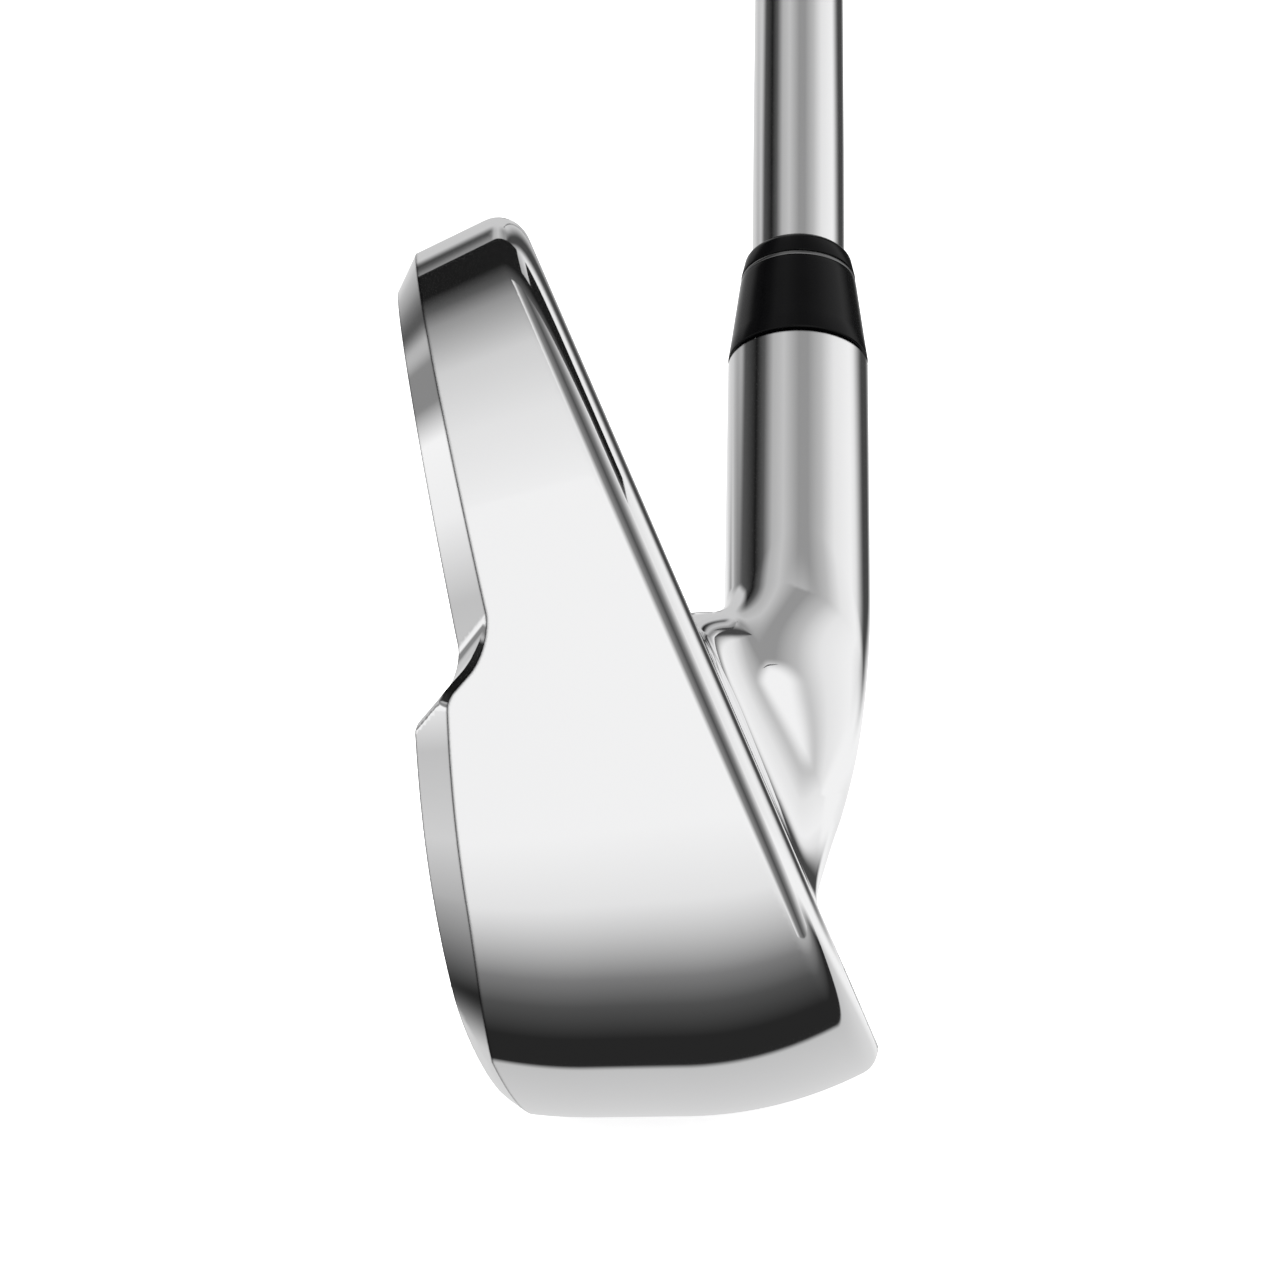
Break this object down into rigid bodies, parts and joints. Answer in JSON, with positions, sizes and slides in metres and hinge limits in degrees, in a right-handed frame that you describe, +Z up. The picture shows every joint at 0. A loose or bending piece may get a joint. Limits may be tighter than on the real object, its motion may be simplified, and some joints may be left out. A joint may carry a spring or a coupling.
{
  "type": "iron golf club",
  "caption": "Right-handed mid iron golf club: chromed cavity-back head with black ferrule, stepped steel shaft and rubber grip.",
  "frame": {"origin": "middle of the flat spot under the sole, on the ground, with the club stood as it is addressed", "axes": "+Z up, +X towards the target (the way the face looks), -Y towards the toe, +Y towards the heel and the grip"},
  "size_m": [0.066, 0.5328, 0.8459],
  "materials": {
    "polished_chrome": "mirror polished chrome plate",
    "satin_steel": "satin blasted steel",
    "shaft_chrome": "bright chrome plate",
    "black_plastic": "polished black",
    "ring_metal": "plain dark metal trim",
    "grip_rubber": "matt, patterned",
    "cap_rubber": "matt",
    "mounting_tape": "paper tape",
    "grey_foam": "foam tape",
    "plug_plastic": "plain",
    "epoxy": "cured resin",
    "tungsten": "sintered, dull",
    "damper_polymer": "soft polymer",
    "band_film": "plain silver film",
    "badge_metal": "dark satin, plain"
  },
  "bodies": {
    "root": {"head_body": "polished_chrome", "face_plate": "satin_steel", "toe_weight": "tungsten", "damping_insert": "damper_polymer", "badge_tape": "grey_foam", "cavity_badge": "badge_metal", "shaft": "shaft_chrome", "tip_plug": "plug_plastic", "hosel_epoxy": "epoxy", "shaft_band": "band_film", "ferrule": "black_plastic", "ferrule_ring": "ring_metal", "grip_sleeve": "grip_rubber", "grip_tape": "mounting_tape", "grip_cap": "cap_rubber"}
  },
  "joints": []
}
